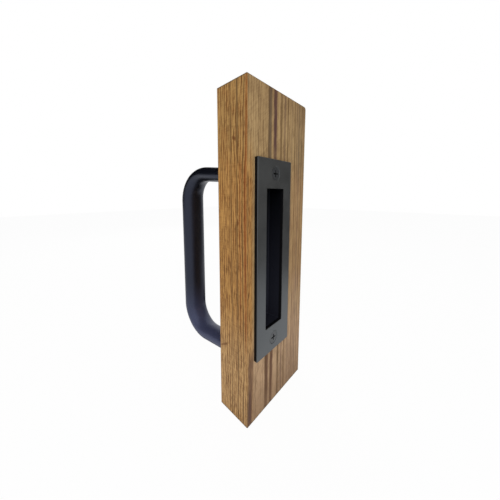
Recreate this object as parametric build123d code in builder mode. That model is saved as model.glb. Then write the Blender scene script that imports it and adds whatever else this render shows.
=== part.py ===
"""A two-sided barn door pull fitted to a short section of door.

An arched bar pull stands on the back face and a flush pull is let into the front face.
Millimetres. +Z is up the door, -Y faces the flush pull and +Y faces the bar pull.
The origin is the centre of the door section's bottom end.
"""

from build123d import *
from math import radians, tan
import os

# Door section
door_width = 91.0
door_thickness = 36.0
door_height = 300.0
door_arris = 0.8
door_worn_corner = 3.0

# Flush pull: face plate
plate_width = 50.0
plate_height = 180.0
plate_thickness = 3.3
plate_corner = 1.2
plate_edge = 0.4
plate_from_side = 8.9

# Flush pull: window in the plate and the folded tub behind it
window_width = 25.6
window_height = 129.0
window_corner = 0.8
tub_reveal = 0.3
tub_wall = 1.2
tub_depth = 13.7
tub_bend = 2.0
mortise_clearance = 0.8

# Countersunk screws that hold the plate
screw_spacing = 155.0
screw_length = 25.0
screw_head_diameter = 11.6
screw_head_angle = 90.0
screw_shank_diameter = 5.2
screw_core_diameter = 3.6
screw_shank_length = 8.0
screw_point_length = 5.0
screw_sink = 0.2
screw_clearance = 0.15
cross_width = 1.3
cross_span = 6.4
cross_depth = 2.6
cross_bottom_span = 2.2
cross_bottom_width = 0.6

# Bar pull
pull_from_side = 15.0
pull_lower_z = 55.9
pull_spacing = 171.8
pull_projection = 64.0
pull_bend_radius = 27.5
pull_bend_steps = 12
pull_leg_lean = 5.0
grip_width = 26.4
grip_depth = 16.6
foot_width = 19.4
foot_depth = 13.6

# Studs that join the bar pull to the door
stud_machine_diameter = 6.6
stud_machine_length = 16.0
stud_wood_diameter = 5.6
stud_wood_length = 27.0
stud_chamfer = 0.8
stud_point_length = 5.0
stud_clearance = 0.1
stud_end_clearance = 0.5

front_y = -door_thickness / 2
back_y = door_thickness / 2
plate_x = plate_from_side + (plate_width - door_width) / 2
plate_z = door_height / 2
pull_x = pull_from_side - door_width / 2
front_plane = Plane(origin=(plate_x, front_y, plate_z), x_dir=(1, 0, 0), z_dir=(0, -1, 0))
face_plane = front_plane.offset(plate_thickness)
screw_places = [(0, side * screw_spacing / 2) for side in (1, -1)]
screw_head_radius = screw_head_diameter / 2
screw_shank_radius = screw_shank_diameter / 2
screw_core_radius = screw_core_diameter / 2
screw_cone_depth = (screw_head_radius - screw_shank_radius) / tan(radians(screw_head_angle / 2))
screw_thread_start = (
    screw_cone_depth + screw_shank_length + screw_shank_radius - screw_core_radius
)
pull_feet = {"top": pull_lower_z + pull_spacing, "bottom": pull_lower_z}

os.makedirs("parts", exist_ok=True)


def save(part, name):
    """Label a finished piece and write it to its own file."""
    part.label = name
    export_step(part, f"parts/{name}.step")


# Tub: the finger recess, folded from sheet and open at the front
tub_width = window_width + 2 * (tub_reveal + tub_wall)
tub_height = window_height + 2 * (tub_reveal + tub_wall)
tub_outside_depth = tub_depth + tub_wall

with BuildPart() as recess_box:
    with BuildSketch(front_plane):
        RectangleRounded(tub_width, tub_height, tub_bend)
    extrude(amount=-tub_outside_depth)
    fillet(recess_box.faces().sort_by(Axis.Y)[-1].edges(), radius=tub_bend)
    offset(amount=-tub_wall, openings=recess_box.faces().sort_by(Axis.Y)[0])
save(recess_box.part, "recess_box")

# Face plate with its window and the seats of the two screw heads
with BuildPart() as flush_plate:
    with BuildSketch(front_plane):
        RectangleRounded(plate_width, plate_height, plate_corner)
        RectangleRounded(window_width, window_height, window_corner, mode=Mode.SUBTRACT)
    extrude(amount=plate_thickness)
    plate_front = flush_plate.faces().sort_by(Axis.Y)[0]
    chamfer(plate_front.outer_wire().edges(), length=plate_edge)
    with Locations(face_plane):
        with Locations(*screw_places):
            CounterSinkHole(
                radius=screw_shank_radius + screw_clearance,
                counter_sink_radius=screw_head_radius + screw_sink + screw_clearance,
                depth=plate_thickness,
                counter_sink_angle=screw_head_angle,
            )
save(flush_plate.part, "flush_plate")


def plate_screw(place):
    """A countersunk wood screw: head cone, shank, thread core and point, with a cross recess."""
    axis_plane = Plane(origin=face_plane.from_local_coords((*place, -screw_sink)),
                       x_dir=(1, 0, 0), z_dir=(0, 0, 1))
    head_plane = Plane(origin=axis_plane.origin, x_dir=(1, 0, 0), z_dir=(0, -1, 0))
    with BuildPart() as screw:
        with BuildSketch(axis_plane):
            with BuildLine():
                Polyline(
                    (0, 0),
                    (screw_head_radius, 0),
                    (screw_shank_radius, screw_cone_depth),
                    (screw_shank_radius, screw_cone_depth + screw_shank_length),
                    (screw_core_radius, screw_thread_start),
                    (screw_core_radius, screw_length - screw_point_length),
                    (0, screw_length),
                    close=True,
                )
            make_face()
        revolve(axis=Axis(axis_plane.origin, (0, 1, 0)))
        for turn in (0, 90):
            with BuildSketch(head_plane):
                Rectangle(cross_span, cross_width, rotation=turn)
            with BuildSketch(head_plane.offset(-cross_depth)):
                Rectangle(cross_bottom_span, cross_bottom_width, rotation=turn)
            loft(mode=Mode.SUBTRACT)
    return screw.part


for side, place in zip(("top", "bottom"), screw_places):
    save(plate_screw(place), f"plate_screw_{side}")

# Bar pull: an oval bar that narrows round each bend towards its foot.
# The lower half is made as far as the middle of the grip, and the upper half mirrors it.
grip_y = back_y + pull_projection
grip_middle_z = pull_lower_z + pull_spacing / 2
leg_slope = tan(radians(pull_leg_lean))
foot_trim = foot_depth / 4

with BuildPart() as pull_handle:
    with BuildLine(Plane.YZ.offset(pull_x)) as half_bar:
        FilletPolyline(
            (back_y - foot_trim, pull_lower_z + foot_trim * leg_slope),
            (grip_y, pull_lower_z - pull_projection * leg_slope),
            (grip_y, grip_middle_z),
            radius=pull_bend_radius,
        )
    leg_line, bend_arc, grip_line = half_bar.edges().sort_by(Axis.Z)
    taper_length = leg_line.length + bend_arc.length
    stops = [(leg_line, step / 2, 0) for step in range(2)]
    stops += [
        (bend_arc, step / pull_bend_steps, leg_line.length) for step in range(pull_bend_steps + 1)
    ]
    for line, share, before in stops:
        taper = (before + share * line.length) / taper_length
        with BuildSketch(Plane(origin=line @ share, x_dir=(1, 0, 0), z_dir=line % share)):
            Ellipse(
                (foot_width + taper * (grip_width - foot_width)) / 2,
                (foot_depth + taper * (grip_depth - foot_depth)) / 2,
            )
    loft(ruled=True)
    with BuildSketch(Plane(origin=grip_line @ 0, x_dir=(1, 0, 0), z_dir=grip_line % 0)):
        Ellipse(grip_width / 2, grip_depth / 2)
    extrude(amount=grip_line.length)
    split(bisect_by=Plane.XZ.offset(-back_y), keep=Keep.BOTTOM)
    mirror(about=Plane.XY.offset(grip_middle_z))
    with Locations(*[
        Plane(origin=(pull_x, back_y, z), z_dir=(0, -1, 0)) for z in pull_feet.values()
    ]):
        Hole(stud_machine_diameter / 2 + stud_clearance,
             depth=stud_machine_length + stud_end_clearance)
save(pull_handle.part, "pull_handle")


def handle_stud(foot_z):
    """A double-ended stud: machine thread in the pull's foot, wood thread and point in the door."""
    machine_radius = stud_machine_diameter / 2
    wood_radius = stud_wood_diameter / 2
    with BuildPart() as stud:
        with BuildSketch(Plane(origin=(pull_x, back_y, foot_z), x_dir=(1, 0, 0), z_dir=(0, 0, 1))):
            with BuildLine():
                Polyline(
                    (0, stud_machine_length),
                    (machine_radius - stud_chamfer, stud_machine_length),
                    (machine_radius, stud_machine_length - stud_chamfer),
                    (machine_radius, 0),
                    (wood_radius, 0),
                    (wood_radius, stud_point_length - stud_wood_length),
                    (0, -stud_wood_length),
                    close=True,
                )
            make_face()
        revolve(axis=Axis((pull_x, back_y, foot_z), (0, 1, 0)))
    return stud.part


for side, foot_z in pull_feet.items():
    save(handle_stud(foot_z), f"handle_stud_{side}")

# Door section with the mortise, the screws' stepped holes and the studs' holes.
# One top corner is worn round, and the long arrises are eased.
with BuildPart() as door_block:
    with BuildSketch(Plane.XZ.offset(-back_y)) as door_outline:
        with Locations((0, door_height / 2)):
            Rectangle(door_width, door_height)
        fillet(door_outline.vertices().group_by(Axis.Z)[-1].sort_by(Axis.X)[-1],
               radius=door_worn_corner)
    extrude(amount=door_thickness)
    fillet(door_block.edges().filter_by(Axis.Z), radius=door_arris)
    with BuildSketch(front_plane):
        RectangleRounded(
            tub_width + 2 * mortise_clearance,
            tub_height + 2 * mortise_clearance,
            tub_bend + mortise_clearance,
        )
    extrude(amount=-(tub_outside_depth + mortise_clearance), mode=Mode.SUBTRACT)
    with Locations(front_plane):
        with Locations(*screw_places):
            CounterBoreHole(
                radius=screw_core_radius + screw_clearance,
                counter_bore_radius=screw_shank_radius + screw_clearance,
                counter_bore_depth=screw_thread_start + screw_sink - plate_thickness,
                depth=screw_length + screw_sink - plate_thickness + screw_clearance,
            )
    with Locations(*[
        Plane(origin=(pull_x, back_y, z), z_dir=(0, 1, 0)) for z in pull_feet.values()
    ]):
        Hole(stud_wood_diameter / 2 + stud_clearance, depth=stud_wood_length + stud_end_clearance)
save(door_block.part, "door_block")
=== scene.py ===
"""Looks of a two-sided barn door pull on a short section of timber door.

The arched bar pull stands on the door's back face, and the flush pull is let into its front face.
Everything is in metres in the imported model's frame: +Z is up the door and -Y faces the flush pull.
Only the timber's bands and blemishes are listed in millimetres.
"""

from dataclasses import dataclass
from enum import Enum
import logging
import math
from typing import TypeAlias

import bpy
import numpy as np
from mathutils import Matrix, Vector


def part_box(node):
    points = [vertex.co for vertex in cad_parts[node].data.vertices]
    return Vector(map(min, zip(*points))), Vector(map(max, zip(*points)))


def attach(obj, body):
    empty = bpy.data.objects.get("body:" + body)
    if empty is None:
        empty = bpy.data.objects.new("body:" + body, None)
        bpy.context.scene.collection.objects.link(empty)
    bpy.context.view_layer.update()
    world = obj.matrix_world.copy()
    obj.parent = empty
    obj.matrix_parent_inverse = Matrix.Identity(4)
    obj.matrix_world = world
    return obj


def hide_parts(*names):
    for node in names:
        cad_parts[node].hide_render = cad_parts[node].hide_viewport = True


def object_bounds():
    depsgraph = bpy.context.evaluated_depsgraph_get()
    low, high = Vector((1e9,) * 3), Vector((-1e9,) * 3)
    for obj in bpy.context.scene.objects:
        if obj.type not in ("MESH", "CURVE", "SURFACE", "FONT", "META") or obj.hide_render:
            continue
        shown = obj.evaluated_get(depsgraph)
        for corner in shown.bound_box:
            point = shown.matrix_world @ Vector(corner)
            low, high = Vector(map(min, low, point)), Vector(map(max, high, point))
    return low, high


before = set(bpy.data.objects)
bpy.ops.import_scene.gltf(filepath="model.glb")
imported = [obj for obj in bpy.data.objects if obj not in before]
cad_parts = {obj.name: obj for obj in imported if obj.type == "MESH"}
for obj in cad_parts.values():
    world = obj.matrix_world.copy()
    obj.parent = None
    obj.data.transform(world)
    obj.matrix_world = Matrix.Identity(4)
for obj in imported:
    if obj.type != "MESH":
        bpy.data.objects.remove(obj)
cad_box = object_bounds()

log = logging.getLogger("barn_door_pull")

MM = 0.001
BODY = "root"
NOISE_MIDDLE = 0.5
SHARP_ANGLE = math.radians(32.0)
THREAD_CREST = 0.12

Colour: TypeAlias = tuple[float, float, float]
Point: TypeAlias = tuple[float, float, float]
Span: TypeAlias = tuple[float, float]
Number: TypeAlias = "Value | float"

WHITE: Colour = (1.0, 1.0, 1.0)


def paint(red: float, green: float, blue: float) -> Colour:
    """Give the linear colour of a screen colour.

    Args:
        red: Red of the screen colour, from 0 to 255.
        green: Green of the screen colour, from 0 to 255.
        blue: Blue of the screen colour, from 0 to 255.

    Returns:
        The three linear shares, from 0 to 1.
    """
    def linear(level: float) -> float:
        """Give one level's linear share, by the screens' standard curve."""
        share = level / 255
        return share / 12.92 if share <= 0.04045 else ((share + 0.055) / 1.055) ** 2.4

    return linear(red), linear(green), linear(blue)


class Value:
    """A number socket of a material, so that shader maths reads as arithmetic."""

    def __init__(self, graph: "MaterialGraph", socket: bpy.types.NodeSocket) -> None:
        """Wrap a socket of a graph's node."""
        self.graph = graph
        self.socket = socket

    def maths(self, operation: str, *numbers: Number) -> "Value":
        """Add a Math node of the given operation on the given numbers."""
        return self.graph.node("ShaderNodeMath", {"operation": operation}, dict(enumerate(numbers)))

    def __add__(self, other: Number) -> "Value":
        """Add."""
        return self.maths("ADD", self, other)

    __radd__ = __add__

    def __sub__(self, other: Number) -> "Value":
        """Subtract."""
        return self.maths("SUBTRACT", self, other)

    def __rsub__(self, other: Number) -> "Value":
        """Subtract this from a number."""
        return self.maths("SUBTRACT", other, self)

    def __mul__(self, other: Number) -> "Value":
        """Multiply."""
        return self.maths("MULTIPLY", self, other)

    __rmul__ = __mul__

    def __truediv__(self, other: Number) -> "Value":
        """Divide."""
        return self.maths("DIVIDE", self, other)

    def __pow__(self, exponent: float) -> "Value":
        """Raise to a power."""
        return self.maths("POWER", self, exponent)

    def __abs__(self) -> "Value":
        """Drop the sign."""
        return self.maths("ABSOLUTE", self)

    def at_most(self, other: Number) -> "Value":
        """Take the smaller of the two."""
        return self.maths("MINIMUM", self, other)

    def at_least(self, other: Number) -> "Value":
        """Take the larger of the two."""
        return self.maths("MAXIMUM", self, other)

    def rise(self, low: float, high: float) -> "Value":
        """Rise smoothly from 0 at low to 1 at high, or fall where high is the smaller.

        Args:
            low: Where the result is 0.
            high: Where the result is 1.

        Returns:
            The smooth step.
        """
        return self.graph.node(
            "ShaderNodeMapRange",
            {"interpolation_type": "SMOOTHSTEP"},
            {"Value": self, "From Min": low, "From Max": high},
        )

    def near(self, centre: Number, reach: float) -> "Value":
        """Give 1 at a centre, falling smoothly to 0 at a reach from it."""
        return abs(self - centre).rise(reach, 0.0)

    def swing(self, reach: Number) -> "Value":
        """Turn noise into a swing about 0: the noise less its middle, times a reach."""
        return (self - NOISE_MIDDLE) * reach

    def between(self, first: float, second: float) -> "Value":
        """Run evenly from a first number at 0 to a second number at 1."""
        return self * (second - first) + first


@dataclass(frozen=True)
class Noise:
    """Cloudy noise, about 0.5 on average.

    Args:
        scale: Clouds to the metre along X, Y and Z.
        detail: How many finer layers lie on it.
        roughness: How strong the finer layers are.
    """

    scale: Point
    detail: float = 2.0
    roughness: float = 0.5


class MaterialGraph:
    """The node tree of one material or world."""

    def __init__(self, owner: "bpy.types.Material | bpy.types.World") -> None:
        """Start an empty tree on a material or world."""
        owner.use_nodes = True
        self.owner = owner
        self.tree = owner.node_tree
        self.tree.nodes.clear()
        self.place = self.node("ShaderNodeTexCoord", output="Object")

    @classmethod
    def new(cls, name: str) -> "MaterialGraph":
        """Start a new material of that name."""
        return cls(bpy.data.materials.new(name))

    def node(self, kind: str, settings: dict | None = None, inputs: dict | None = None,
             output: int | str = 0) -> Value:
        """Add a node, set it, and feed its sockets.

        Args:
            kind: The node's type.
            settings: Its properties by name.
            inputs: The value or link of each socket, by name or number. A colour is a Colour.
            output: The output to give back, by name or number.

        Returns:
            The wrapped output, which is empty for a node that has none.
        """
        made = self.tree.nodes.new(kind)
        for name, setting in (settings or {}).items():
            setattr(made, name, setting)
        for name, value in (inputs or {}).items():
            socket = made.inputs[name]
            if isinstance(value, Value):
                self.tree.links.new(value.socket, socket)
            else:
                socket.default_value = (*value, 1.0) if socket.type == "RGBA" else value
        return Value(self, made.outputs[output] if made.outputs else None)

    def axes(self, vector: Value) -> tuple[Value, Value, Value]:
        """Split a vector.

        Args:
            vector: The vector.

        Returns:
            Its X, Y and Z.
        """
        first = self.node("ShaderNodeSeparateXYZ", inputs={0: vector})
        sockets = first.socket.node.outputs
        return first, Value(self, sockets[1]), Value(self, sockets[2])

    def stretched(self, vector: Value, scale: Point) -> Value:
        """Multiply a vector by a scale along each axis."""
        return self.node("ShaderNodeVectorMath", {"operation": "MULTIPLY"}, {0: vector, 1: scale})

    def vector(self, x: Number, y: Number, z: Number) -> Value:
        """Join three numbers into a vector."""
        return self.node("ShaderNodeCombineXYZ", inputs={0: x, 1: y, 2: z})

    def noise(self, vector: Value, kind: Noise, output: str = "Fac") -> Value:
        """Add cloudy noise.

        Args:
            vector: The place it is read at.
            kind: How fine it is.
            output: Fac for a number, Color for three of them.

        Returns:
            The noise.
        """
        return self.node(
            "ShaderNodeTexNoise",
            {"noise_dimensions": "3D"},
            {"Vector": self.stretched(vector, kind.scale), "Scale": 1.0, "Detail": kind.detail,
             "Roughness": kind.roughness},
            output,
        )

    def flecks(self, vector: Value, cells: Point, size: float) -> Value:
        """Scatter soft-edged grains, one to each cell of a stretched grid.

        Args:
            vector: The place it is read at.
            cells: Cells to the metre along X, Y and Z.
            size: The grains' radius as a share of a cell.

        Returns:
            1 in the middle of a grain and 0 between them.
        """
        distance = self.node(
            "ShaderNodeTexVoronoi",
            {"feature": "F1"},
            {"Vector": self.stretched(vector, cells), "Scale": 1.0, "Randomness": 1.0},
            "Distance",
        )
        return distance.rise(size, size * 0.3)

    def blend(self, share: Number, first: "Value | Colour", second: "Value | Colour") -> Value:
        """Mix two colours, with a share of the second."""
        return self.node("ShaderNodeMix", {"data_type": "RGBA"}, {0: share, 6: first, 7: second}, 2)

    def mixed(self, share: Value, first: Value, second: Value) -> Value:
        """Mix two shaders, with a share of the second."""
        return self.node("ShaderNodeMixShader", inputs={0: share, 1: first, 2: second})

    def relief(self, height: Value, depth: float, strength: float) -> Value:
        """Turn a height into a normal.

        Args:
            height: The height, in shares of the depth.
            depth: The height of 1, in metres.
            strength: How much of the relief shows.

        Returns:
            The bent normal.
        """
        return self.node(
            "ShaderNodeBump", inputs={"Height": height, "Distance": depth, "Strength": strength},
            output="Normal",
        )

    def principled(self, inputs: dict) -> Value:
        """Add a Principled shader with the given value or link of each socket."""
        return self.node("ShaderNodeBsdfPrincipled", inputs=inputs, output="BSDF")

    def close(self, shader: Value) -> bpy.types.Material:
        """Lead a shader to the output and give back the finished material."""
        self.node("ShaderNodeOutputMaterial", inputs={"Surface": shader})
        return self.owner

    def surface(self, inputs: dict) -> bpy.types.Material:
        """Close the material with one Principled shader, and give it back."""
        return self.close(self.principled(inputs))


@dataclass(frozen=True)
class GrainNoise(Noise):
    """Cloudy noise that darkens and lightens the timber.

    Args:
        heart: How far it swings the heartwood's tone.
        sap: How far it swings the sapwood's tone.
    """

    heart: float = 0.0
    sap: float = 0.0


@dataclass(frozen=True)
class GrainBand:
    """A band of the timber, placed in millimetres where it meets the front face.

    Args:
        top: Its place across the front face at the top of the door section.
        bottom: Its place there at the bottom.
        width: Its width on the front face.
        depth: How strong it is, from 0 to 1.
        colour: Its colour.
        low: The height below which it fades away, if any.
        high: The height above which it fades away, if any.
    """

    top: float
    bottom: float
    width: float
    depth: float
    colour: Colour
    low: float | None = None
    high: float | None = None


@dataclass(frozen=True)
class Blemish:
    """A dark mark in the timber, such as a small knot or a bruise, in millimetres.

    Args:
        place: Its middle.
        reach: How far it reaches along each axis.
        depth: How dark it is, from 0 to 1.
        climb: How far it rises for each millimetre towards +Y.
    """

    place: Point
    reach: Point
    depth: float
    climb: float = 0.0


PURPLE_BROWN = paint(86, 60, 54)
GREY_BROWN = paint(92, 76, 60)
WARM_BROWN = paint(98, 68, 48)
OLIVE_BROWN = paint(94, 70, 42)
RED_BROWN = paint(134, 68, 26)
PINK_BROWN = paint(146, 100, 72)
PALE_PINK = paint(188, 156, 130)
DULL_BROWN = paint(92, 64, 50)


@dataclass(frozen=True)
class OiledTimber:
    """Sawn and oiled softwood with its grain upright.

    The growth rings are cylinders about an upright axis in front of the door and to its right,
    so one ring radius sets the grain of every face and of the sawn ends. Pores and dashes have
    one share in the heartwood and one in the sapwood, and patches and gaps are the levels of
    noise between which they start and are full.
    """

    height: float
    half_width: float
    half_thickness: float
    ring_axis: Span = (160 * MM, -140 * MM)
    heart: Colour = paint(170, 141, 98)
    heart_low: Colour = paint(184, 152, 118)
    heart_dark: Colour = paint(104, 78, 50)
    sap: Colour = paint(186, 139, 78)
    sap_high: Colour = paint(177, 138, 82)
    sap_low: Colour = paint(198, 158, 106)
    sap_dark: Colour = paint(92, 52, 20)
    stain: Colour = paint(146, 86, 36)
    knot: Colour = paint(96, 54, 24)
    pore: Colour = paint(64, 34, 16)
    dash: Colour = paint(88, 42, 14)
    arris: Colour = paint(150, 108, 58)
    end_grain_and_edge_shade: Colour = paint(88, 70, 48)
    foot_shade: Colour = paint(104, 74, 46)
    roughness: float = 0.62
    fibre_roughness: float = 0.16
    gloss: float = 0.25
    relief_depth: float = 0.25 * MM
    relief_strength: float = 0.55
    fibre_relief: float = 0.6
    hair_relief: float = 0.35
    pore_relief: float = 0.9
    base_tone: float = 0.16
    foot_height: float = 50 * MM
    foot_share: float = 0.42
    top_share: float = 0.2
    sap_edge: float = -36 * MM
    sap_fade: float = 6 * MM
    flank_inside: float = 0.5 * MM
    flank_outside: float = 0.1 * MM
    high_from: float = 215 * MM
    high_to: float = 265 * MM
    low_from: float = 120 * MM
    low_to: float = 50 * MM
    sap_ring: float = 1.7 * MM
    sap_ring_tone: float = 1.5
    sap_ring_tone_low: float = 0.9
    heart_ring: float = 3.3 * MM
    heart_ring_tone: float = 0.4
    ring_stray: float = 1.6
    ring_line: float = 0.22
    ring_gaps: Span = (0.36, 0.58)
    sway_across: float = 3.2 * MM
    sway_deep: float = 2.6 * MM
    saw_slope: float = 0.8
    low_streak_loss: float = 0.5
    stain_patches: Span = (0.48, 0.68)
    stain_share: float = 0.18
    end_edge: float = 1.4 * MM
    end_share: float = 0.9
    arris_inside: float = 1.5 * MM
    arris_outside: float = 0.6 * MM
    corner_patches: Span = (0.3, 0.6)
    flank_corner_share: float = 0.4
    corner_shade_share: float = 0.8
    band_fray: float = 1.6 * MM
    band_fade_low: float = 40 * MM
    band_fade_high: float = 25 * MM
    blemish_fray: float = 2.5
    sway: Noise = Noise((24, 24, 7), 3.0, 0.55)
    fibre: GrainNoise = GrainNoise((850, 850, 16), 3.0, 0.65, heart=1.2, sap=0.7)
    streak: GrainNoise = GrainNoise((760, 760, 110), 2.0, 0.6, heart=0.9, sap=1.5)
    hair: GrainNoise = GrainNoise((2200, 2200, 110), 2.0, 0.6, heart=0.8, sap=2.3)
    cloud: GrainNoise = GrainNoise((50, 50, 14), heart=0.9, sap=0.5)
    blotch: GrainNoise = GrainNoise((120, 120, 70), heart=0.9)
    saw_marks: GrainNoise = GrainNoise((90, 90, 900), heart=0.6, sap=0.6)
    patch: Noise = Noise((90, 90, 34))
    broken: Noise = Noise((900, 900, 50), 1.0)
    pore_cells: Point = (760, 760, 62)
    pore_size: float = 0.24
    pore_patches: Span = (0.38, 0.56)
    pore_shares: Span = (0.3, 0.9)
    dash_cells: Point = (1050, 1050, 130)
    dash_size: float = 0.3
    dash_patches: Span = (0.36, 0.56)
    dash_shares: Span = (0.12, 0.72)
    bands: tuple[GrainBand, ...] = (
        GrainBand(31.0, 31.0, 26.0, 0.28, PINK_BROWN, low=85, high=245),
        GrainBand(31.0, 31.0, 26.0, 0.25, PALE_PINK, high=135),
        GrainBand(-16.2, -18.6, 5.2, 0.75, GREY_BROWN, low=150),
        GrainBand(-16.2, -18.6, 5.0, 0.85, WARM_BROWN, high=150),
        GrainBand(-17.6, -19.6, 1.6, 0.6, OLIVE_BROWN),
        GrainBand(-8.6, -9.2, 4.6, 0.85, PURPLE_BROWN, low=150),
        GrainBand(-7.4, -10.8, 4.4, 0.95, WARM_BROWN, high=150),
        GrainBand(0.2, 1.0, 3.2, 0.65, OLIVE_BROWN),
        GrainBand(6.4, 7.4, 2.2, 0.5, PURPLE_BROWN),
        GrainBand(11.6, 12.6, 1.8, 0.7, OLIVE_BROWN),
        GrainBand(19.4, 19.0, 1.8, 0.3, GREY_BROWN),
        GrainBand(24.6, 27.0, 2.0, 0.55, OLIVE_BROWN),
        GrainBand(28.6, 30.4, 1.3, 0.5, WARM_BROWN),
        GrainBand(32.4, 34.0, 2.4, 0.45, GREY_BROWN),
        GrainBand(38.4, 38.0, 2.0, 0.45, OLIVE_BROWN),
        GrainBand(41.8, 42.4, 1.4, 0.4, WARM_BROWN),
        GrainBand(35.0, 35.0, 18.0, 0.22, GREY_BROWN, low=200),
        GrainBand(-35.6, -42.6, 6.4, 1.0, DULL_BROWN, high=80),
        GrainBand(-46.6, -46.8, 1.5, 0.6, RED_BROWN, low=60),
        GrainBand(-48.4, -48.6, 0.8, 0.5, OLIVE_BROWN),
        GrainBand(-50.4, -50.2, 0.9, 0.45, RED_BROWN, low=90, high=250),
        GrainBand(-52.8, -52.4, 1.0, 0.6, OLIVE_BROWN),
        GrainBand(-57.6, -57.0, 1.1, 0.5, OLIVE_BROWN),
    )
    blemishes: tuple[Blemish, ...] = (
        Blemish((-45.5, -3.0, 255), (3, 2.6, 2.4), 0.75, 0.5),
        Blemish((-45.5, -7.0, 186), (3, 1.2, 4.0), 0.8),
        Blemish((-45.5, 12.0, 66.5), (3, 7.5, 1.7), 0.65, -0.65),
        Blemish((-45.5, 3.0, 150), (3, 5.0, 12), 0.3, -1.0),
        Blemish((-42.9, -18.0, 105), (0.7, 2, 6.0), 0.9),
        Blemish((-43.6, -18.0, 118), (0.6, 2, 20), 0.5),
    )

    def material(self) -> bpy.types.Material:
        """Make the timber's material.

        Returns:
            The finished material.
        """
        graph = MaterialGraph.new("oiled_timber")
        sway_x, sway_y, _ = graph.axes(graph.noise(graph.place, self.sway, "Color"))
        x, y, z = graph.axes(graph.place)
        bent_x = x + sway_x.swing(self.sway_across)
        bent_y = y + sway_y.swing(self.sway_deep)
        bent = graph.vector(bent_x, bent_y, z)
        across = self.front_place(bent_x, bent_y)
        saw_place = graph.vector(x + z * self.saw_slope, y, z - x * self.saw_slope)
        patch = graph.noise(bent, self.patch)
        broken = graph.noise(bent, self.broken).rise(*self.ring_gaps)
        kinds = (self.fibre, self.streak, self.hair, self.cloud, self.blotch)
        layers = [graph.noise(bent, kind) for kind in kinds]
        fibre, streak, hair, cloud, blotch = layers

        flank = x.rise(self.flank_inside - self.half_width, self.flank_outside - self.half_width)
        high = z.rise(self.high_from, self.high_to)
        low = z.rise(self.low_from, self.low_to)
        sap = across.rise(self.sap_edge, self.sap_edge - self.sap_fade) * flank.at_least(1.0 - high)
        pale = graph.blend(sap, graph.blend(low, self.heart, self.heart_low),
                           graph.blend(low, graph.blend(high, self.sap, self.sap_high),
                                       self.sap_low))
        dark = graph.blend(sap, self.heart_dark, self.sap_dark)

        stray = cloud.swing(self.ring_stray)
        sap_tone = sap * low.between(self.sap_ring_tone, self.sap_ring_tone_low)
        heart_tone = (1.0 - sap) * self.heart_ring_tone
        late = (self.ring_lines(across, self.sap_ring, stray) * sap_tone
                + self.ring_lines(across, self.heart_ring, stray) * heart_tone)
        tone = self.base_tone + late * broken - streak.swing(sap * low * self.low_streak_loss)
        layers.append(graph.noise(saw_place, self.saw_marks))
        for layer, kind in zip(layers, (*kinds, self.saw_marks)):
            tone = tone + layer.swing(sap.between(kind.heart, kind.sap))
        colour = graph.blend(tone.at_least(0.0).at_most(1.0), pale, dark)
        stained = blotch.rise(*self.stain_patches) * sap * (1.0 - low) * self.stain_share
        colour = graph.blend(stained, colour, self.stain)
        fray = fibre * 0.6 + streak * 0.4
        for band in self.bands:
            share = self.band_share(band, across, z, fray, patch)
            colour = graph.blend(share, colour, band.colour)
        for mark in self.blemishes:
            colour = graph.blend(self.blemish_share(mark, x, y, z, fibre), colour, self.knot)

        pores = graph.flecks(bent, self.pore_cells, self.pore_size)
        pores = pores * blotch.rise(*self.pore_patches)
        dashes = graph.flecks(bent, self.dash_cells, self.dash_size)
        dashes = dashes * cloud.rise(*self.dash_patches)
        shade = z.rise(self.foot_height, 0.0) * self.foot_share
        shade = shade + z.rise(self.high_to, self.height) * self.top_share
        # Along the upright corners: a deeper orange on the left face, and elsewhere a painted shade
        # line where the rounded corner turns from the light.
        corner_marks = self.arris_share(x, y) * fibre.rise(*self.corner_patches)
        # Darker near the top and the bottom: the sawn ends' own darker end grain, and a painted
        # shade line along the sides' top and bottom edges.
        ends = z.near(0.0, self.end_edge) + z.near(self.height, self.end_edge)
        for share, covering in (
            (pores * sap.between(*self.pore_shares), self.pore),
            (dashes * sap.between(*self.dash_shares), self.dash),
            (shade * (1.0 - sap), self.foot_shade),
            (corner_marks * flank * self.flank_corner_share, self.arris),
            (corner_marks * (1.0 - flank) * self.corner_shade_share, self.end_grain_and_edge_shade),
            (ends.at_most(1.0) * self.end_share, self.end_grain_and_edge_shade),
        ):
            colour = graph.blend(share, colour, covering)

        height = 1.0 - fibre * self.fibre_relief - hair * self.hair_relief
        height = height - pores * self.pore_relief
        return graph.surface({
            "Base Color": colour,
            "Roughness": self.roughness + fibre * self.fibre_roughness,
            "Specular IOR Level": self.gloss,
            "Normal": graph.relief(height, self.relief_depth, self.relief_strength),
        })

    def ring_lines(self, across: Value, spacing: float, stray: Value) -> Value:
        """Give the thin dark latewood lines of the growth rings.

        Args:
            across: Where the point's ring meets the front face.
            spacing: The distance between two lines.
            stray: How many lines the noise shifts the point by.

        Returns:
            1 on a line and 0 between two.
        """
        count = across / spacing + stray
        return count.maths("FRACT", count).near(0.5, self.ring_line)

    def blemish_share(self, mark: Blemish, x: Value, y: Value, z: Value, fibre: Value) -> Value:
        """Give how much a blemish darkens a point.

        The point's distances from its middle, each over its reach, are squared and added up. It
        is darkest at 0 and ends at 1, and it climbs evenly towards +Y.

        Args:
            mark: The blemish.
            x: The point's X.
            y: The point's Y.
            z: The point's Z.
            fibre: The fine streaks, which fray its edge.

        Returns:
            The share of the dark colour.
        """
        place = [length * MM for length in mark.place]
        reach = [length * MM for length in mark.reach]
        beside = y - place[1]
        squared = ((x - place[0]) / reach[0]) ** 2 + (beside / reach[1]) ** 2
        squared = squared + ((z - place[2] - beside * mark.climb) / reach[2]) ** 2
        return (squared + fibre.swing(self.blemish_fray)).rise(1.0, 0.1) * mark.depth

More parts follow.
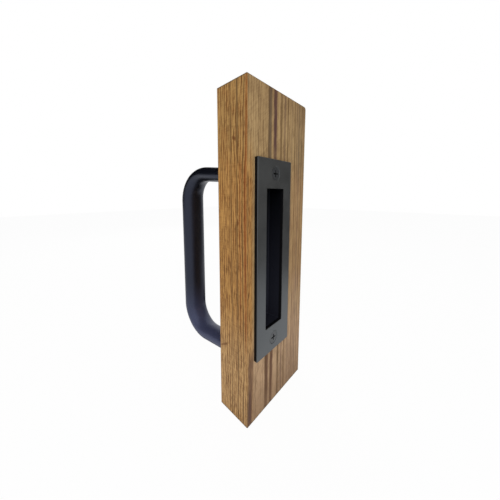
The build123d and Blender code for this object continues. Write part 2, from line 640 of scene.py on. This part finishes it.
    def front_place(self, x: Value, y: Value) -> Value:
        """Give where the ring through a point meets the front face.

        The ring radius squared is (x - ax)^2 + (y - ay)^2 about the axis (ax, ay), and the ring
        meets the front face at ax less the root of the radius squared less the axis's
        distance from that face squared.

        Args:
            x: The point's X.
            y: The point's Y.

        Returns:
            The X at which its ring crosses the front face.
        """
        axis_x, axis_y = self.ring_axis
        face_distance = -self.half_thickness - axis_y
        squared = (x - axis_x) ** 2 + (y - axis_y) ** 2 - face_distance ** 2
        return axis_x - squared.at_least(0.0) ** 0.5

    def band_share(self, band: GrainBand, across: Value, z: Value, fray: Value,
                   patch: Value) -> Value:
        """Give how much of its colour a band gives a point.

        Its middle line runs straight from its bottom place to its top place. The share falls
        with the distance from that line, in which the fine streaks stray.

        Args:
            band: The band.
            across: Where the point's ring meets the front face.
            z: The point's height.
            fray: The fine streaks, which break the band's edges.
            patch: The slow noise, which makes it stronger and weaker along its length.

        Returns:
            The share of the band's colour.
        """
        top, bottom, width = band.top * MM, band.bottom * MM, band.width * MM
        middle = bottom + z * ((top - bottom) / self.height)
        away = abs(across - middle) + fray.swing(self.band_fray + width * 0.8)
        share = away.rise(width * 0.75, width * 0.2) * band.depth * (0.2 + patch * 1.6)
        if band.low is not None:
            share = share * z.rise(band.low * MM, band.low * MM + self.band_fade_low)
        if band.high is not None:
            share = share * z.rise(band.high * MM, band.high * MM - self.band_fade_high)
        return share.at_most(1.0)

    def arris_share(self, x: Value, y: Value) -> Value:
        """Give how near a point is to the upright corners.

        Args:
            x: The point's X.
            y: The point's Y.

        Returns:
            1 on a corner and 0 away from it.
        """
        beside, before = (
            abs(place).rise(half - self.arris_inside, half - self.arris_outside)
            for place, half in ((x, self.half_width), (y, self.half_thickness))
        )
        return beside * before


@dataclass(frozen=True)
class PowderCoat:
    """Baked satin powder coat with a fine orange peel.

    Args:
        name: The material's name.
        colour: Its colour.
        roughness: Its mean roughness.
        gloss: The shader's specular level.
        tint: The colour of its reflections.
        painted_light: The colour of the painted light that lightens it lower down, if it has any.
        painted_light_from: The height at which the painted light starts.
        painted_light_to: The height below which the painted light is strongest.
        edge_from: The Y behind which it is painted dull and nearly black, as painted shade, if there
            is one.
        edge_fade: How far it takes to get there.
        edge_colour: Its colour there.
        peel_depth: How deep the orange peel is.
        peel: The orange peel.
        grit: The fine grit in it.
        haze: The slow haze over it.
    """

    name: str
    colour: Colour
    roughness: float
    gloss: float
    tint: Colour
    painted_light: Colour | None = None
    painted_light_from: float = 230 * MM
    painted_light_to: float = 95 * MM
    edge_from: float | None = None
    edge_fade: float = 0.1 * MM
    edge_colour: Colour = paint(12, 12, 14)
    peel_depth: float = 0.02 * MM
    peel: Noise = Noise((1400, 1400, 1400), 1.0)
    grit: Noise = Noise((5200, 5200, 5200), 1.0)
    haze: Noise = Noise((60, 60, 60))

    def material(self) -> bpy.types.Material:
        """Make the coat's material.

        Returns:
            The finished material.
        """
        graph = MaterialGraph.new(self.name)
        peel, grit, haze = (
            graph.noise(graph.place, kind) for kind in (self.peel, self.grit, self.haze)
        )
        lighter, darker = (
            tuple(level * share for level in self.colour) for share in (1.25, 0.8)
        )
        colour = graph.blend((grit * 0.6 + haze * 0.4).rise(0.3, 0.7), darker, lighter)
        _, y, z = graph.axes(graph.place)
        # Painted light: lower down the colour is painted lighter, standing for light and reflection
        # there.
        if self.painted_light is not None:
            colour = graph.blend(z.rise(self.painted_light_from, self.painted_light_to), colour, self.painted_light)
        coat = graph.principled({
            "Base Color": colour,
            "Roughness": self.roughness + haze.swing(0.12) + grit.swing(0.1),
            "Specular IOR Level": self.gloss,
            "Specular Tint": self.tint,
            "Normal": graph.relief(peel + grit * 0.3, self.peel_depth, 0.6),
        })
        if self.edge_from is None:
            return graph.close(coat)
        # Painted shade: dull and nearly black behind that Y, on edges and in recesses, with no
        # glint.
        painted_shade = graph.principled({
            "Base Color": self.edge_colour, "Roughness": 0.6, "Specular IOR Level": 0.1,
        })
        behind = y.rise(self.edge_from, self.edge_from + self.edge_fade)
        return graph.close(graph.mixed(behind, coat, painted_shade))


@dataclass(frozen=True)
class ZincPlate:
    """Bright zinc plating on steel, with faint turning marks round the thread."""

    white: Colour = paint(190, 188, 176)
    yellow: Colour = paint(196, 186, 150)
    roughness: float = 0.3
    mark_depth: float = 0.01 * MM
    marks: Noise = Noise((300, 6000, 300))
    bloom: Noise = Noise((180, 180, 180))

    def material(self) -> bpy.types.Material:
        """Make the plating's material.

        Returns:
            The finished material.
        """
        graph = MaterialGraph.new("zinc_plate")
        marks, bloom = (graph.noise(graph.place, kind) for kind in (self.marks, self.bloom))
        return graph.surface({
            "Base Color": graph.blend(bloom.rise(0.4, 0.7), self.white, self.yellow),
            "Metallic": 1.0,
            "Roughness": self.roughness + marks * 0.15,
            "Normal": graph.relief(marks, self.mark_depth, 0.4),
        })


def added(name: str, data: bpy.types.ID) -> bpy.types.Object:
    """Put a new object into the scene.

    Args:
        name: Its name.
        data: Its mesh, lamp or camera.

    Returns:
        The object.
    """
    made = bpy.data.objects.new(name, data)
    bpy.context.scene.collection.objects.link(made)
    return made


def carried_surface(name: str, rings: np.ndarray, material: bpy.types.Material,
                    replaced: str) -> None:
    """Make a closed piece that rides on the object's one body, from rings of points.

    A face joins two neighbours of a ring to the two beside them on the next. The first and the
    last ring are each drawn together to one point, so the skin is closed. The faces look
    outwards where the points turn right-handed about the way that the rings follow.

    Args:
        name: The piece's name.
        rings: The points, as rings by points round a ring by X, Y and Z.
        material: The piece's material.
        replaced: The CAD node that the piece stands for.
    """
    count, around = rings.shape[:2]
    points = np.concatenate([rings[:1, 0], rings[1:-1].reshape(-1, 3), rings[-1:, 0]])
    ring = 1 + np.arange((count - 2) * around).reshape(count - 2, around)
    beside = np.roll(ring, -1, axis=1)
    quads = np.stack([ring[:-1], beside[:-1], beside[1:], ring[1:]], axis=-1).reshape(-1, 4)
    first_fan = np.stack([np.zeros(around, int), beside[0], ring[0]], axis=-1)
    last_fan = np.stack([ring[-1], beside[-1], np.full(around, len(points) - 1)], axis=-1)

    mesh = bpy.data.meshes.new(name)
    faces = [*first_fan.tolist(), *last_fan.tolist(), *quads.tolist()]
    mesh.from_pydata(points.tolist(), [], faces)
    mesh.validate()
    mesh.shade_smooth()
    mesh.set_sharp_from_angle(angle=SHARP_ANGLE)
    mesh.materials.append(material)
    piece = added(name, mesh)
    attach(piece, BODY)
    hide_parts(replaced)
    log.info("%s built in place of %s, %d faces", name, replaced, len(mesh.polygons))


def stations(*stretches: tuple[float, float, int]) -> np.ndarray:
    """Join evenly divided stretches into one row of stations.

    Args:
        stretches: The start, the end and the number of steps of each stretch.

    Returns:
        The stations in order, with no station twice.
    """
    rows = [np.linspace(start, end, steps + 1)[:-1] for start, end, steps in stretches]
    return np.concatenate([*rows, [stretches[-1][1]]])


def full_turn(count: int) -> np.ndarray:
    """Give that number of angles, evenly round a full turn."""
    return np.linspace(0, 2 * np.pi, count, endpoint=False)


def ridge(along: np.ndarray, angles: np.ndarray, pitch: float, foot: float) -> np.ndarray:
    """Give the height of a thread's ridge, from 0 in the groove to 1 on the crest.

    A point lies as many turns up the thread as its distance over the pitch, less its angle over
    a full turn. The ridge stands on each half turn, and falls evenly from its crest to its foot.

    Args:
        along: Each ring's distance along the axis.
        angles: Each point's angle about the axis.
        pitch: The distance between two turns.
        foot: Half of the ridge's width at its foot, in turns.

    Returns:
        The height at each point, as rings by points.
    """
    turns = along[:, None] / pitch - angles / (2 * np.pi)
    away = np.abs(turns % 1.0 - 0.5) / foot
    return np.clip((1.0 - away) / (1.0 - THREAD_CREST), 0.0, 1.0)


def turned(centre: np.ndarray, along: np.ndarray, radius: np.ndarray,
           angles: np.ndarray) -> np.ndarray:
    """Give rings of points about an axis along Y.

    Args:
        centre: Where the axis starts.
        along: Each ring's distance from there along Y.
        radius: Each point's distance from the axis, as rings by points.
        angles: Each point's angle about the axis, from X towards -Z.

    Returns:
        The points, as rings by points by X, Y and Z.
    """
    places = np.empty((len(along), len(angles), 3))
    places[..., 0] = centre[0] + radius * np.cos(angles)
    places[..., 1] = centre[1] + along[:, None]
    places[..., 2] = centre[2] - radius * np.sin(angles)
    return places


def capped(centre: np.ndarray, along: np.ndarray, radius: np.ndarray,
           angles: np.ndarray) -> np.ndarray:
    """Give the rings of turned, with a ring of no size before them that closes their end."""
    cap = np.zeros((1, len(angles)))
    return turned(centre, np.append(along[:1], along), np.append(cap, radius, axis=0), angles)


def dress(node: str, material: bpy.types.Material) -> None:
    """Give a CAD node its finish.

    Args:
        node: The node's name.
        material: Its material.
    """
    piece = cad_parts[node]
    piece.data.materials.clear()
    piece.data.materials.append(material)
    low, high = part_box(node)
    size = [round((b - a) / MM, 1) for a, b in zip(low, high)]
    log.info("%s dressed, %s mm", node, size)


class End(Enum):
    """The end of the door section that a fastener is nearer to."""

    TOP = "top"
    BOTTOM = "bottom"


@dataclass
class DoorSection:
    """The short section of door that the two pulls are fitted to."""

    node: str = "door_block"

    def build(self) -> None:
        """Dress the door section in oiled timber."""
        low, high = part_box(self.node)
        finish = OiledTimber(height=high.z, half_width=high.x, half_thickness=high.y)
        dress(self.node, finish.material())


@dataclass
class FlushPull:
    """The flush pull: its face plate, its tub and its two countersunk wood screws."""

    # The plate is painted dull and nearly black behind its face: painted shade on its edges and the
    # window's walls.
    plate_finish: PowderCoat = PowderCoat(
        "plate_coat", paint(61, 61, 60), 0.38, 0.66, (0.68, 0.84, 1.0), edge_from=-20.9 * MM
    )
    # The tub is painted lighter lower down: painted light in the recess.
    tub_finish: PowderCoat = PowderCoat(
        "tub_coat", paint(3, 3, 4), 0.5, 0.2, (0.7, 0.8, 1.0), painted_light=paint(30, 31, 39)
    )
    # The screws are painted dull and nearly black behind the flat of the head: painted shade in the
    # cross recess.
    screw_finish: PowderCoat = PowderCoat(
        "screw_coat", paint(54, 55, 56), 0.36, 0.5, (0.82, 0.92, 1.0), edge_from=-21.09 * MM
    )

    def build(self) -> None:
        """Dress the plate and the tub, and make the screws."""
        dress("flush_plate", self.plate_finish.material())
        dress("recess_box", self.tub_finish.material())
        screw_material = self.screw_finish.material()
        for end in End:
            CrossRecessScrew(end).build(screw_material)


@dataclass
class CrossRecessScrew:
    """A countersunk wood screw of the plate, with its cross recess and its thread.

    Lengths run from the flat of the head towards the point.
    """

    end: End
    head_radius: float = 5.8 * MM
    rim: float = 0.12 * MM
    shank_radius: float = 2.6 * MM
    core_radius: float = 1.8 * MM
    thread_radius: float = 2.45 * MM
    cone_end: float = 3.2 * MM
    shank_end: float = 11.2 * MM
    thread_start: float = 12.0 * MM
    point_start: float = 20.0 * MM
    length: float = 25.0 * MM
    pitch: float = 1.8 * MM
    ridge_foot: float = 0.3
    cross_reach: float = 3.2 * MM
    cross_half_width: float = 0.65 * MM
    cross_depth: float = 2.6 * MM
    cross_bottom_reach: float = 1.1 * MM
    cross_bottom_half_width: float = 0.3 * MM
    cross_bevel: float = 0.12 * MM
    tip_steps: int = 3
    arm_steps: int = 9
    thread_steps: int = 90
    point_steps: int = 60

    def build(self, material: bpy.types.Material) -> None:
        """Make the screw where its CAD node stands.

        Args:
            material: The screw's finish.
        """
        node = f"plate_screw_{self.end.value}"
        low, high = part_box(node)
        head = np.array([(low.x + high.x) / 2, low.y, (low.z + high.z) / 2])
        rings = np.concatenate([self.recess(head), self.body(head)])
        carried_surface(f"cross_recess_screw_{self.end.value}", rings, material, node)

    def cross(self, reach: float, half_width: float) -> np.ndarray:
        """Give the outline of a cross, from one arm's tip round.

        Half of an arm is drawn, mirrored about the diagonal, and turned to the other quarters.

        Args:
            reach: How far the arms reach from the middle.
            half_width: Half of an arm's width.

        Returns:
            The points, as complex numbers with X as the real part.
        """
        tip = reach + 1j * half_width * np.linspace(0, 1, self.tip_steps + 1)[:-1]
        side = np.linspace(reach, half_width, self.arm_steps + 1)[:-1] + 1j * half_width
        half = np.concatenate([tip, side])
        corner = half_width * (1 + 1j)
        quarter = np.concatenate([half, [corner], 1j * half[:0:-1].conj()])
        return np.concatenate([quarter * 1j ** turn for turn in range(4)])

    def recess(self, head: np.ndarray) -> np.ndarray:
        """Give the rings of the cross recess, each a cross that is wider than the one below it.

        Args:
            head: The middle of the flat of the head.

        Returns:
            The rings, from the recess's bottom to the flat of the head.
        """
        bevel = self.cross_bevel
        levels = (
            (self.cross_depth, 0.0, 0.0),
            (self.cross_depth, self.cross_bottom_reach, self.cross_bottom_half_width),
            (bevel, self.cross_reach - bevel, self.cross_half_width - bevel),
            (0.0, self.cross_reach, self.cross_half_width),
        )
        rings = []
        for depth, reach, half_width in levels:
            outline = self.cross(reach, half_width)
            level = np.full(outline.shape, head[1] + depth)
            rings.append(np.stack([head[0] + outline.real, level, head[2] - outline.imag], axis=-1))
        return np.array(rings)

    def body(self, head: np.ndarray) -> np.ndarray:
        """Give the rings outside: the head's rim and cone, the shank, the thread and the point.

        The thread is the core's radius plus the ridge, which fades at both ends, and the core
        narrows evenly along the point.

        Args:
            head: The middle of the flat of the head.

        Returns:
            The rings, from the head to the point.
        """
        angles = full_turn(8 * (self.tip_steps + self.arm_steps))
        smooth = np.array([
            (0.0, self.head_radius - self.rim),
            (self.rim, self.head_radius - self.rim),
            (self.cone_end, self.shank_radius),
            (self.shank_end, self.shank_radius),
        ])
        plain = turned(head, smooth[:, 0], np.repeat(smooth[:, 1:], len(angles), axis=1), angles)
        along = stations((self.thread_start, self.point_start, self.thread_steps),
                         (self.point_start, self.length, self.point_steps))
        left = (self.length - along) / (self.length - self.point_start)
        core = self.core_radius * np.minimum(left, 1.0)
        fade = np.clip((along - self.thread_start) / self.pitch, 0, 1) * np.clip(left * 2, 0, 1)
        rise = (self.thread_radius - self.core_radius) * fade
        thread = rise[:, None] * ridge(along, angles, self.pitch, self.ridge_foot)
        return np.concatenate([plain, turned(head, along, core[:, None] + thread, angles)])


@dataclass
class HangerStud:
    """A double-ended stud: a machine thread in the bar's foot and a wood thread in the door.

    Lengths run from the door's back face, upwards into the bar and downwards into the door.
    """

    end: End
    machine_radius: float = 3.3 * MM
    machine_root: float = 2.7 * MM
    machine_length: float = 16.0 * MM
    machine_pitch: float = 1.0 * MM
    machine_foot: float = 0.5
    chamfer: float = 0.8 * MM
    wood_radius: float = 2.8 * MM
    wood_root: float = 1.9 * MM
    wood_length: float = 27.0 * MM
    wood_pitch: float = 2.4 * MM
    wood_foot: float = 0.28
    point_length: float = 5.0 * MM
    shoulder: float = 4.0 * MM
    machine_steps: int = 200
    shoulder_steps: int = 6
    wood_steps: int = 180
    around: int = 64

    def build(self, material: bpy.types.Material) -> None:
        """Make the stud where its CAD node stands.

        Args:
            material: The stud's finish.
        """
        node = f"handle_stud_{self.end.value}"
        low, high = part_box(node)
        foot = np.array([(low.x + high.x) / 2, high.y - self.machine_length, (low.z + high.z) / 2])
        along = stations(
            (self.machine_length, 0.0, self.machine_steps),
            (0.0, -self.shoulder, self.shoulder_steps),
            (-self.shoulder, -self.wood_length, self.wood_steps),
        )
        angles = full_turn(self.around)
        radius = np.where(
            along[:, None] > 0, self.machine_thread(along, angles), self.wood_thread(along, angles)
        )
        rings = capped(foot, along, radius, angles)[::-1]
        carried_surface(f"threaded_stud_{self.end.value}", rings, material, node)

    def machine_thread(self, along: np.ndarray, angles: np.ndarray) -> np.ndarray:
        """Give the machine end's radius: less the groove between the ridges, and its chamfer.

        Args:
            along: Each ring's distance from the door's back face.
            angles: Each point's angle about the axis.

        Returns:
            The radius at each point, as rings by points.
        """
        fade = np.clip(along / self.machine_pitch, 0, 1)[:, None]
        groove = (self.machine_radius - self.machine_root) * fade
        thread = groove * (1 - ridge(along, angles, self.machine_pitch, self.machine_foot))
        end = self.machine_radius - self.chamfer + self.machine_length - along
        return np.minimum(self.machine_radius - thread, end[:, None])

    def wood_thread(self, along: np.ndarray, angles: np.ndarray) -> np.ndarray:
        """Give the wood end's radius: less the groove between the ridges, and its point.

        Args:
            along: Each ring's distance from the door's back face.
            angles: Each point's angle about the axis.

        Returns:
            The radius at each point, as rings by points.
        """
        fade = np.clip((-along - self.shoulder) / self.wood_pitch, 0, 1)[:, None]
        groove = (self.wood_radius - self.wood_root) * fade
        thread = groove * (1 - ridge(along, angles, self.wood_pitch, self.wood_foot))
        left = np.clip((self.wood_length + along) / self.point_length, 0, 1)
        return np.minimum(self.wood_radius - thread, self.wood_radius * left[:, None])


@dataclass
class BarPull:
    """The arched bar pull and the studs that hold it.

    The bar is oval. Its lower leg, its lower bend and half of its grip are made first, from the
    tapped hole in the foot to the middle of the grip, and the upper half mirrors them.
    """

    # The bar is painted lighter and bluer lower down: a painted reflection on the lower bend and
    # leg.
    finish: PowderCoat = PowderCoat(
        "bar_coat", paint(10, 11, 18), 0.38, 0.64, (0.62, 0.7, 1.0), painted_light=paint(56, 59, 82),
        painted_light_from=112 * MM, painted_light_to=50 * MM,
    )
    bend_radius: float = 27.5 * MM
    leg_lean: float = math.radians(5.0)
    foot_width: float = 19.4 * MM
    foot_depth: float = 13.6 * MM
    grip_depth: float = 16.6 * MM
    foot_spacing: float = 171.8 * MM
    foot_edge: float = 0.4 * MM
    hole_radius: float = 3.4 * MM
    hole_depth: float = 16.5 * MM
    hole_mouth: float = 0.5 * MM
    thread_depth: float = 0.35 * MM
    thread_pitch: float = 1.0 * MM
    thread_foot: float = 0.5
    hole_steps: int = 190
    mouth_steps: int = 2
    edge_steps: int = 4
    leg_steps: int = 20
    bend_steps: int = 60
    grip_steps: int = 24
    around: int = 96

    def build(self) -> None:
        """Make the bar and its studs."""
        low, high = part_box("pull_handle")
        self.middle = np.array([(low.x + high.x) / 2, low.y, (low.z + high.z) / 2])
        self.grip_width = high.x - low.x
        self.grip_y = high.y - self.grip_depth / 2
        self.angles = full_turn(self.around)
        lower = self.lower_half(1.0)
        upper = self.lower_half(-1.0)[-2::-1]
        upper[..., 2] = 2 * self.middle[2] - upper[..., 2]
        carried_surface("arched_bar", np.concatenate([lower, upper]), self.finish.material(),
                        "pull_handle")
        stud_material = ZincPlate().material()
        for end in End:
            HangerStud(end).build(stud_material)

    def lower_half(self, hand: float) -> np.ndarray:
        """Give the rings from the foot's hole to the middle of the grip.

        Args:
            hand: 1 for a right-handed thread in the hole and -1 for a left-handed one.

        Returns:
            The points, as rings by points by X, Y and Z.
        """
        foot = self.middle - np.array([0.0, 0.0, self.foot_spacing / 2])
        return np.concatenate([self.hole(foot, hand), self.bar(foot)])

    def hole(self, foot: np.ndarray, hand: float) -> np.ndarray:
        """Give the rings of a foot's tapped hole: its radius plus the thread, or plus its mouth.

        Args:
            foot: The middle of the foot's face.
            hand: The thread's hand.

        Returns:
            The rings, from the hole's blind end to its mouth.
        """
        along = stations((self.hole_depth, self.hole_mouth, self.hole_steps),
                         (self.hole_mouth, 0.0, self.mouth_steps))
        tapped = np.clip((self.hole_depth - along) / self.thread_pitch - 1, 0, 1)[:, None]
        thread = ridge(along, hand * self.angles, self.thread_pitch, self.thread_foot)
        mouth = np.clip(self.hole_mouth - along, 0, None)[:, None]
        cut = np.maximum(self.thread_depth * tapped * thread * (mouth == 0), mouth)
        return capped(foot, along, self.hole_radius + cut, self.angles)

    def bar(self, foot: np.ndarray) -> np.ndarray:
        """Give the rings of a foot's face and of the bar as far as the middle of the grip.

        The middle line is the leaning leg, an arc and the straight grip. The section square to
        it is an oval, which widens evenly along the leg and the arc.

        Args:
            foot: The middle of the foot's face.

        Returns:
            The rings, from the foot's face to the middle of the grip.
        """
        lean = self.leg_lean
        turn = math.pi / 2 + lean
        trim = self.foot_depth / 4
        bend_reach = self.bend_radius * math.tan(turn / 2)
        leg_end_y = self.grip_y - bend_reach * math.cos(lean)
        leg_start_y = foot[1] - trim
        leg_length = (leg_end_y - leg_start_y) / math.cos(lean)
        taper_length = leg_length + self.bend_radius * turn
        bend_y = self.grip_y - self.bend_radius
        bend_z = foot[2] - (self.grip_y - foot[1]) * math.tan(lean) + bend_reach

        leg = np.linspace(trim / math.cos(lean), leg_length, self.leg_steps + 1)
        leg_y = leg_start_y + leg * math.cos(lean)
        leg_z = foot[2] - (leg_y - foot[1]) * math.tan(lean)
        bend = np.linspace(-turn, 0.0, self.bend_steps + 1)[1:]
        grip = np.linspace(bend_z, self.middle[2], self.grip_steps + 1)[1:]

        centre_y = np.concatenate([
            leg_y, bend_y + self.bend_radius * np.cos(bend), np.full(len(grip), self.grip_y)
        ])
        centre_z = np.concatenate([leg_z, bend_z + self.bend_radius * np.sin(bend), grip])
        facing = np.concatenate([np.full(len(leg), -turn), bend, np.zeros(len(grip))])
        taper = np.concatenate([
            leg, leg_length + (bend + turn) * self.bend_radius, np.full(len(grip), taper_length)
        ]) / taper_length
        half_width = (self.foot_width + (self.grip_width - self.foot_width) * taper) / 2
        half_depth = (self.foot_depth + (self.grip_depth - self.foot_depth) * taper) / 2

        across = half_width[:, None] * np.cos(self.angles)
        out = half_depth[:, None] * np.sin(self.angles)
        rings = np.stack([
            self.middle[0] + across,
            centre_y[:, None] + out * np.cos(facing)[:, None],
            centre_z[:, None] + out * np.sin(facing)[:, None],
        ], axis=-1)
        return np.concatenate([self.foot_face(foot, rings[0]), rings[1:]])

    def foot_face(self, foot: np.ndarray, section: np.ndarray) -> np.ndarray:
        """Give the rings of a foot's flat face and of its rounded edge.

        The section slides along the leg on to the face, and the edge is a quarter of a circle.

        Args:
            foot: The middle of the foot's face.
            section: The bar's section square to the leg, with its middle there.

        Returns:
            The rings, from the flat face to the leg.
        """
        slope = math.tan(self.leg_lean)
        flat = section.copy()
        flat[:, 2] += (flat[:, 1] - foot[1]) * slope
        flat[:, 1] = foot[1]
        rings = []
        for quarter in np.linspace(0, math.pi / 2, self.edge_steps + 1):
            inset = 1 - self.foot_edge * (1 - math.sin(quarter)) / (self.foot_depth / 2)
            ring = foot + (flat - foot) * inset
            rise = self.foot_edge * (1 - math.cos(quarter))
            rings.append(ring + np.array([0.0, rise, -rise * slope]))
        return np.array(rings)


@dataclass
class Studio:
    """The camera, the pale floor, the soft lights and the black cards.

    The camera stands where the photograph's corners of the door section place it.
    """

    image_size: float = 500.0
    focal_pixels: float = 211.13
    middle_column: float = 241.57
    middle_row: float = 218.7
    camera_place: Point = (-169.4 * MM, -131.5 * MM, 208.8 * MM)
    yaw: float = 45.93
    pitch: float = -6.36
    roll: float = -0.14
    sensor: float = 36.0
    near_limit: float = 10 * MM
    floor_size: float = 6.0
    floor_colour: Colour = (0.9, 0.9, 0.9)
    floor_whiteness: float = 0.96
    daylight: float = 0.45
    lamp_size: float = 0.8
    key_lamp: Point = (-0.7, -0.75, 0.75)
    key_watts: float = 9.0
    back_lamp: Point = (0.5, 0.9, 0.7)
    back_watts: float = 4.0
    card_colour: Colour = (0.01, 0.01, 0.01)
    card_height: float = 0.9
    card_width: float = 0.4
    front_card: Point = (0.26, -0.2, 0.45)
    side_card: Point = (-0.3, 0.27, 0.64)
    back_card: Point = (0.0, 0.65, 0.7)
    back_card_width: float = 0.8
    roof_card: Point = (0.0, 0.1, 0.75)
    roof_size: float = 0.7
    contact_shadow_card: Point = (0.07, 0.07, 0.001)
    contact_shadow_card_width: float = 0.24
    contact_shadow_card_depth: float = 0.16

    def build(self) -> None:
        """Set the camera, the floor, the world, the lamps and the black cards."""
        self.place_camera()
        self.lay_floor()
        self.light_world()
        self.hang_lamp("key", self.key_lamp, self.key_watts)
        self.hang_lamp("back", self.back_lamp, self.back_watts)
        self.stand_card("front_card", self.front_card, self.card_width)
        self.stand_card("side_card", self.side_card, self.card_width)
        self.stand_card("back_card", self.back_card, self.back_card_width)
        roof, wide, deep = self.roof_size / 2, self.contact_shadow_card_width / 2, self.contact_shadow_card_depth / 2
        self.hang_card("roof_card", self.roof_card, (roof, 0.0, 0.0), (0.0, roof, 0.0))
        # The low black card is painted shadow: it lies on the floor under the bar as the contact
        # shadow that the bar's inner bends reflect.
        self.hang_card("contact_shadow_card", self.contact_shadow_card, (wide, 0.0, 0.0), (0.0, deep, 0.0))
        bpy.context.scene.view_settings.view_transform = "Standard"

    def stand_card(self, name: str, middle: Point, width: float) -> None:
        """Stand an upright black card beside the object.

        Args:
            name: The card's name.
            middle: Its middle. It faces the object's upright middle line.
            width: Its width.
        """
        reach = width / 2 / math.hypot(middle[0], middle[1])
        across = (-middle[1] * reach, middle[0] * reach, 0.0)
        self.hang_card(name, middle, across, (0.0, 0.0, self.card_height / 2))

    def hang_card(self, name: str, middle: Point, across: Point, up: Point) -> None:
        """Hang a black card that only shows in reflections.

        Args:
            name: The card's name.
            middle: Its middle.
            across: From its middle to the middle of one side.
            up: From its middle to the middle of the next side.
        """
        cloth = MaterialGraph.new(name).surface(
            {"Base Color": self.card_colour, "Roughness": 1.0, "Specular IOR Level": 0.0}
        )
        card = self.flat_piece(name, middle, across, up, cloth)
        card.visible_camera = False
        card.visible_diffuse = False
        card.visible_shadow = False

    def flat_piece(self, name: str, middle: Point, across: Point, up: Point,
                   material: bpy.types.Material) -> bpy.types.Object:
        """Add a flat four-cornered piece of the studio.

        Args:
            name: The piece's name.
            middle: Its middle.
            across: From its middle to the middle of one side.
            up: From its middle to the middle of the next side.
            material: Its material.

        Returns:
            The piece.
        """
        wide, tall = np.array(across), np.array(up)
        corners = np.array(middle) + np.array([-wide - tall, wide - tall, wide + tall, tall - wide])
        mesh = bpy.data.meshes.new(name)
        mesh.from_pydata(corners.tolist(), [], [(0, 1, 2, 3)])
        mesh.materials.append(material)
        piece = added(name, mesh)
        return piece

    def place_camera(self) -> None:
        """Put the camera at the photograph's place, with its lens and its shift."""
        data = bpy.data.cameras.new("camera")
        camera = added("camera", data)
        data.sensor_width = self.sensor
        data.lens = self.focal_pixels * self.sensor / self.image_size
        data.shift_x = 0.5 - self.middle_column / self.image_size
        data.shift_y = self.middle_row / self.image_size - 0.5
        data.clip_start = self.near_limit
        camera.matrix_world = (
            Matrix.Translation(self.camera_place)
            @ Matrix.Rotation(math.radians(-self.yaw), 4, "Z")
            @ Matrix.Rotation(math.radians(90 + self.pitch), 4, "X")
            @ Matrix.Rotation(math.radians(self.roll), 4, "Z")
        )
        bpy.context.scene.camera = camera

    def lay_floor(self) -> None:
        """Lay the pale floor, which shows nearly white and keeps the object's shadow."""
        half = self.floor_size / 2
        graph = MaterialGraph.new("pale_floor")
        matt = graph.node("ShaderNodeBsdfDiffuse", inputs={"Color": self.floor_colour})
        white = graph.node("ShaderNodeEmission", inputs={"Color": WHITE, "Strength": 1.0})
        shown = graph.mixed(self.seen(graph) * self.floor_whiteness, matt, white)
        self.flat_piece("floor", (0.0, 0.0, 0.0), (half, 0.0, 0.0), (0.0, half, 0.0),
                        graph.close(shown))

    def seen(self, graph: MaterialGraph) -> Value:
        """Tell what looks at a surface.

        Args:
            graph: The surface's node tree.

        Returns:
            1 for the camera, a reflection or a look through a clear piece, and 0 for the rest.
        """
        path = graph.node("ShaderNodeLightPath", output="Is Camera Ray")
        outputs = path.socket.node.outputs
        glossy = Value(graph, outputs["Is Glossy Ray"])
        through = Value(graph, outputs["Is Transmission Ray"])
        return path.at_least(glossy).at_least(through)

    def light_world(self) -> None:
        """Fill the world with even daylight, behind a white background."""
        world = bpy.data.worlds.new("daylight")
        bpy.context.scene.world = world
        graph = MaterialGraph(world)
        strength = self.daylight + self.seen(graph) * (1.0 - self.daylight)
        sky = graph.node("ShaderNodeBackground", inputs={"Color": WHITE, "Strength": strength})
        graph.node("ShaderNodeOutputWorld", inputs={"Surface": sky})

    def hang_lamp(self, name: str, place: Point, watts: float) -> None:
        """Hang a square soft lamp aimed at the middle of the object.

        Args:
            name: The lamp's name.
            place: Where it hangs.
            watts: Its power.
        """
        data = bpy.data.lights.new(name, "AREA")
        data.shape = "SQUARE"
        data.size = self.lamp_size
        data.energy = watts
        lamp = added(name, data)
        lamp.visible_glossy = False
        low, high = cad_box
        aim = (low + high) / 2 - Vector(place)
        lamp.matrix_world = (
            Matrix.Translation(place) @ aim.to_track_quat("-Z", "Y").to_matrix().to_4x4()
        )


def main() -> None:
    """Build the door section, the two pulls and the studio."""
    logging.basicConfig(level=logging.INFO, format="%(name)s: %(message)s")
    for assembly in (DoorSection(), FlushPull(), BarPull(), Studio()):
        assembly.build()


if __name__ == "__main__":
    main()
